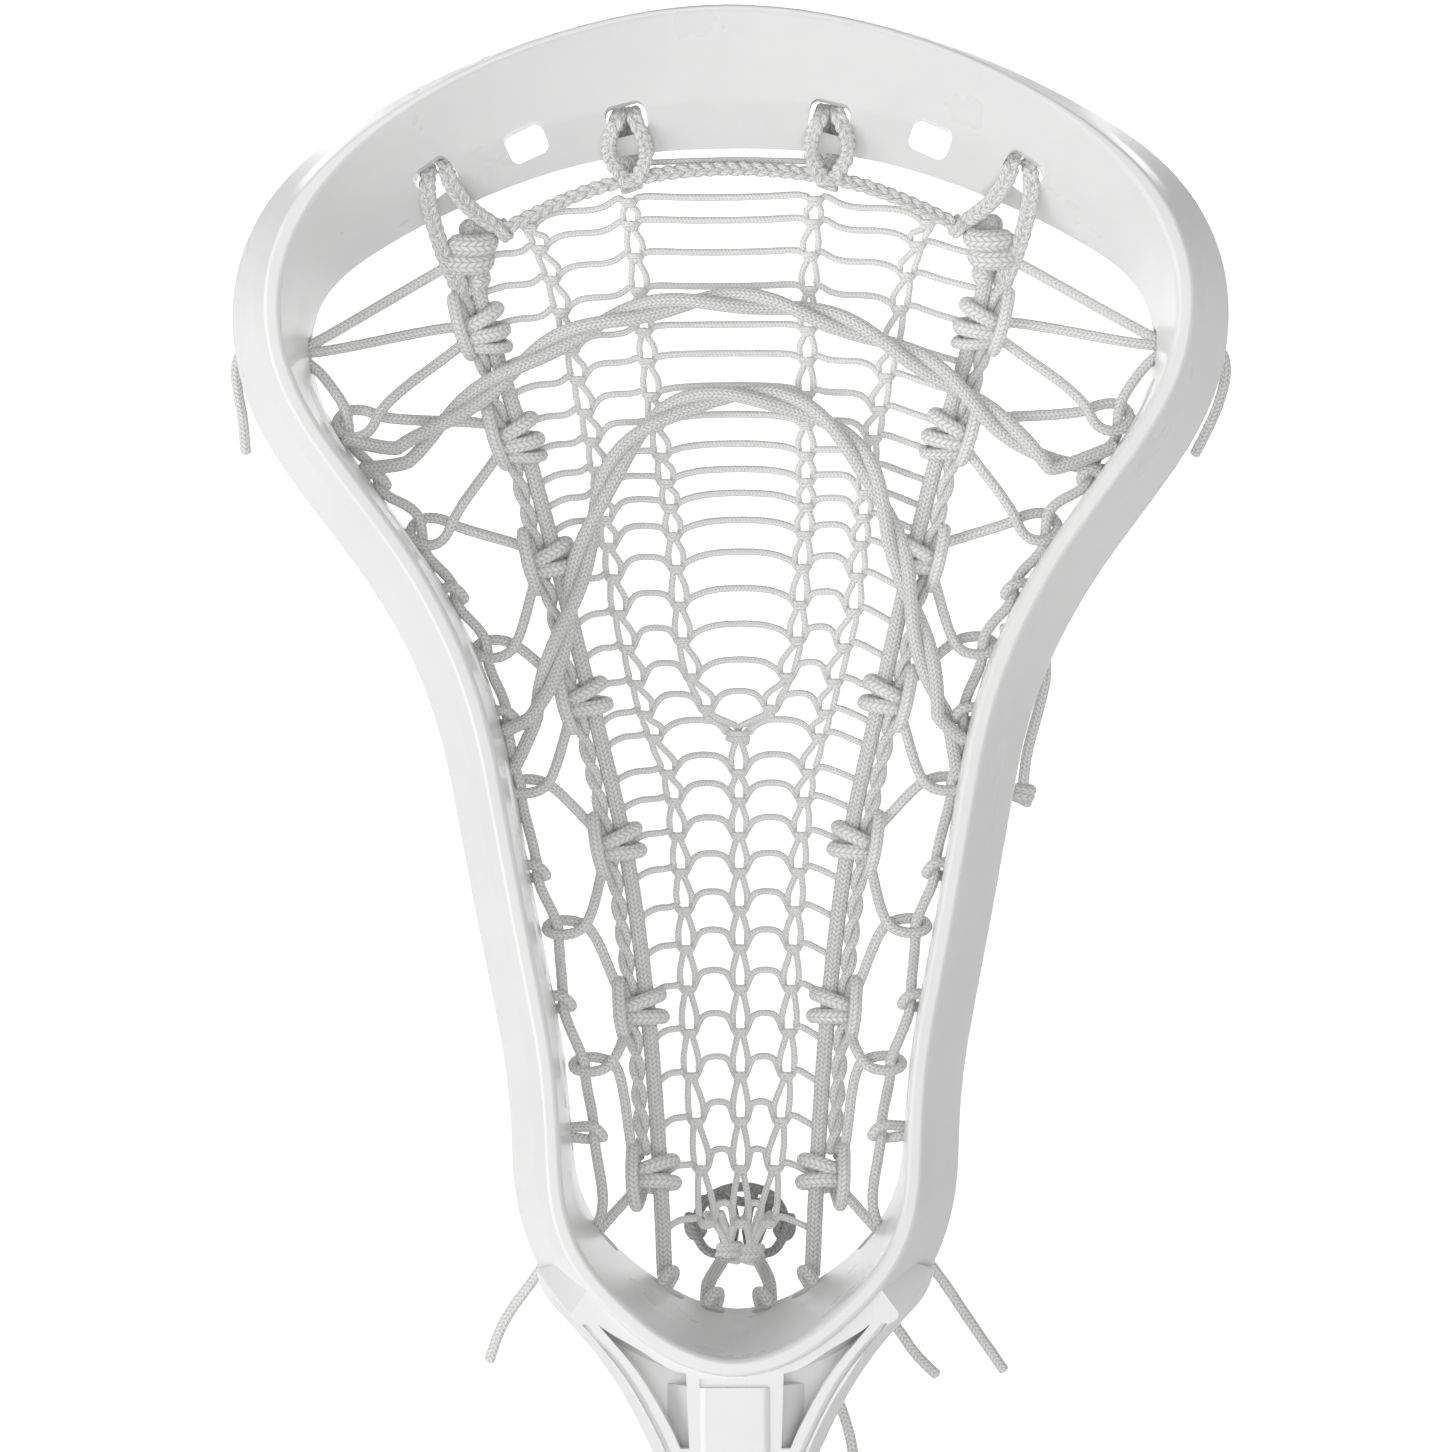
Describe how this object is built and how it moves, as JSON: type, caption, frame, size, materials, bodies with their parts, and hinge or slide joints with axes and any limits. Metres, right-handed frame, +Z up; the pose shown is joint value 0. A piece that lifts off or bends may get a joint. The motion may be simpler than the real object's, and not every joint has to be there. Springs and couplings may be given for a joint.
{
  "type": "lacrosse stick",
  "caption": "Field lacrosse stick with a wide moulded head, laced string pocket with a woven mesh channel, eight-sided tube shaft and rubber butt cap.",
  "frame": {"origin": "centre of the flat end face of the butt cap, on the shaft's axis", "axes": "+Z up the shaft to the head, X across the head, +Y from the open face of the head to the back of the pocket"},
  "size_m": [0.2286, 0.0691, 1.0927],
  "materials": {
    "head_plastic": "smooth moulded nylon with a soft gloss",
    "shaft_metal": "satin clear-anodised, fine lengthwise brushing",
    "cap_rubber": "matte moulded rubber",
    "screw_steel": "zinc plated",
    "lacing_cord": "braided nylon string",
    "shooting_cord": "soft braided lace, twisted in pairs",
    "mesh_cord": "fine braided nylon, knotted into a mesh"
  },
  "bodies": {
    "stick": {"barrel_knot_left": "lacing_cord", "barrel_knot_right": "lacing_cord", "bottom_string_left": "lacing_cord", "bottom_string_right": "lacing_cord", "head_frame": "head_plastic", "mesh_gather": "mesh_cord", "pocket_mesh": "mesh_cord", "rail_lacing_left": "lacing_cord", "rail_lacing_right": "lacing_cord", "runner_lacing_left": "lacing_cord", "runner_lacing_right": "lacing_cord", "runner_left": "lacing_cord", "runner_right": "lacing_cord", "scoop_ties": "lacing_cord", "shaft": "shaft_metal", "shooter_lower": "shooting_cord", "shooter_upper": "shooting_cord", "stop_ties": "lacing_cord", "tail_lower_left": "lacing_cord", "tail_lower_right": "lacing_cord", "tail_side_right": "lacing_cord", "tail_stop_right": "lacing_cord", "tail_throat": "lacing_cord", "tail_upper_left": "lacing_cord", "tail_upper_right": "lacing_cord", "top_string": "lacing_cord"},
    "butt_cap": {"end_cap": "cap_rubber"},
    "screw": {"head_screw": "screw_steel"}
  },
  "joints": [
    {"name": "end_cap_pull", "type": "slide", "parent": "stick", "child": "butt_cap", "axis": [0, 0, -1], "range_m": [0, 0.045]},
    {"name": "head_screw_out", "type": "slide", "parent": "stick", "child": "screw", "axis": [0, 1, 0], "range_m": [0, 0.0125]}
  ]
}
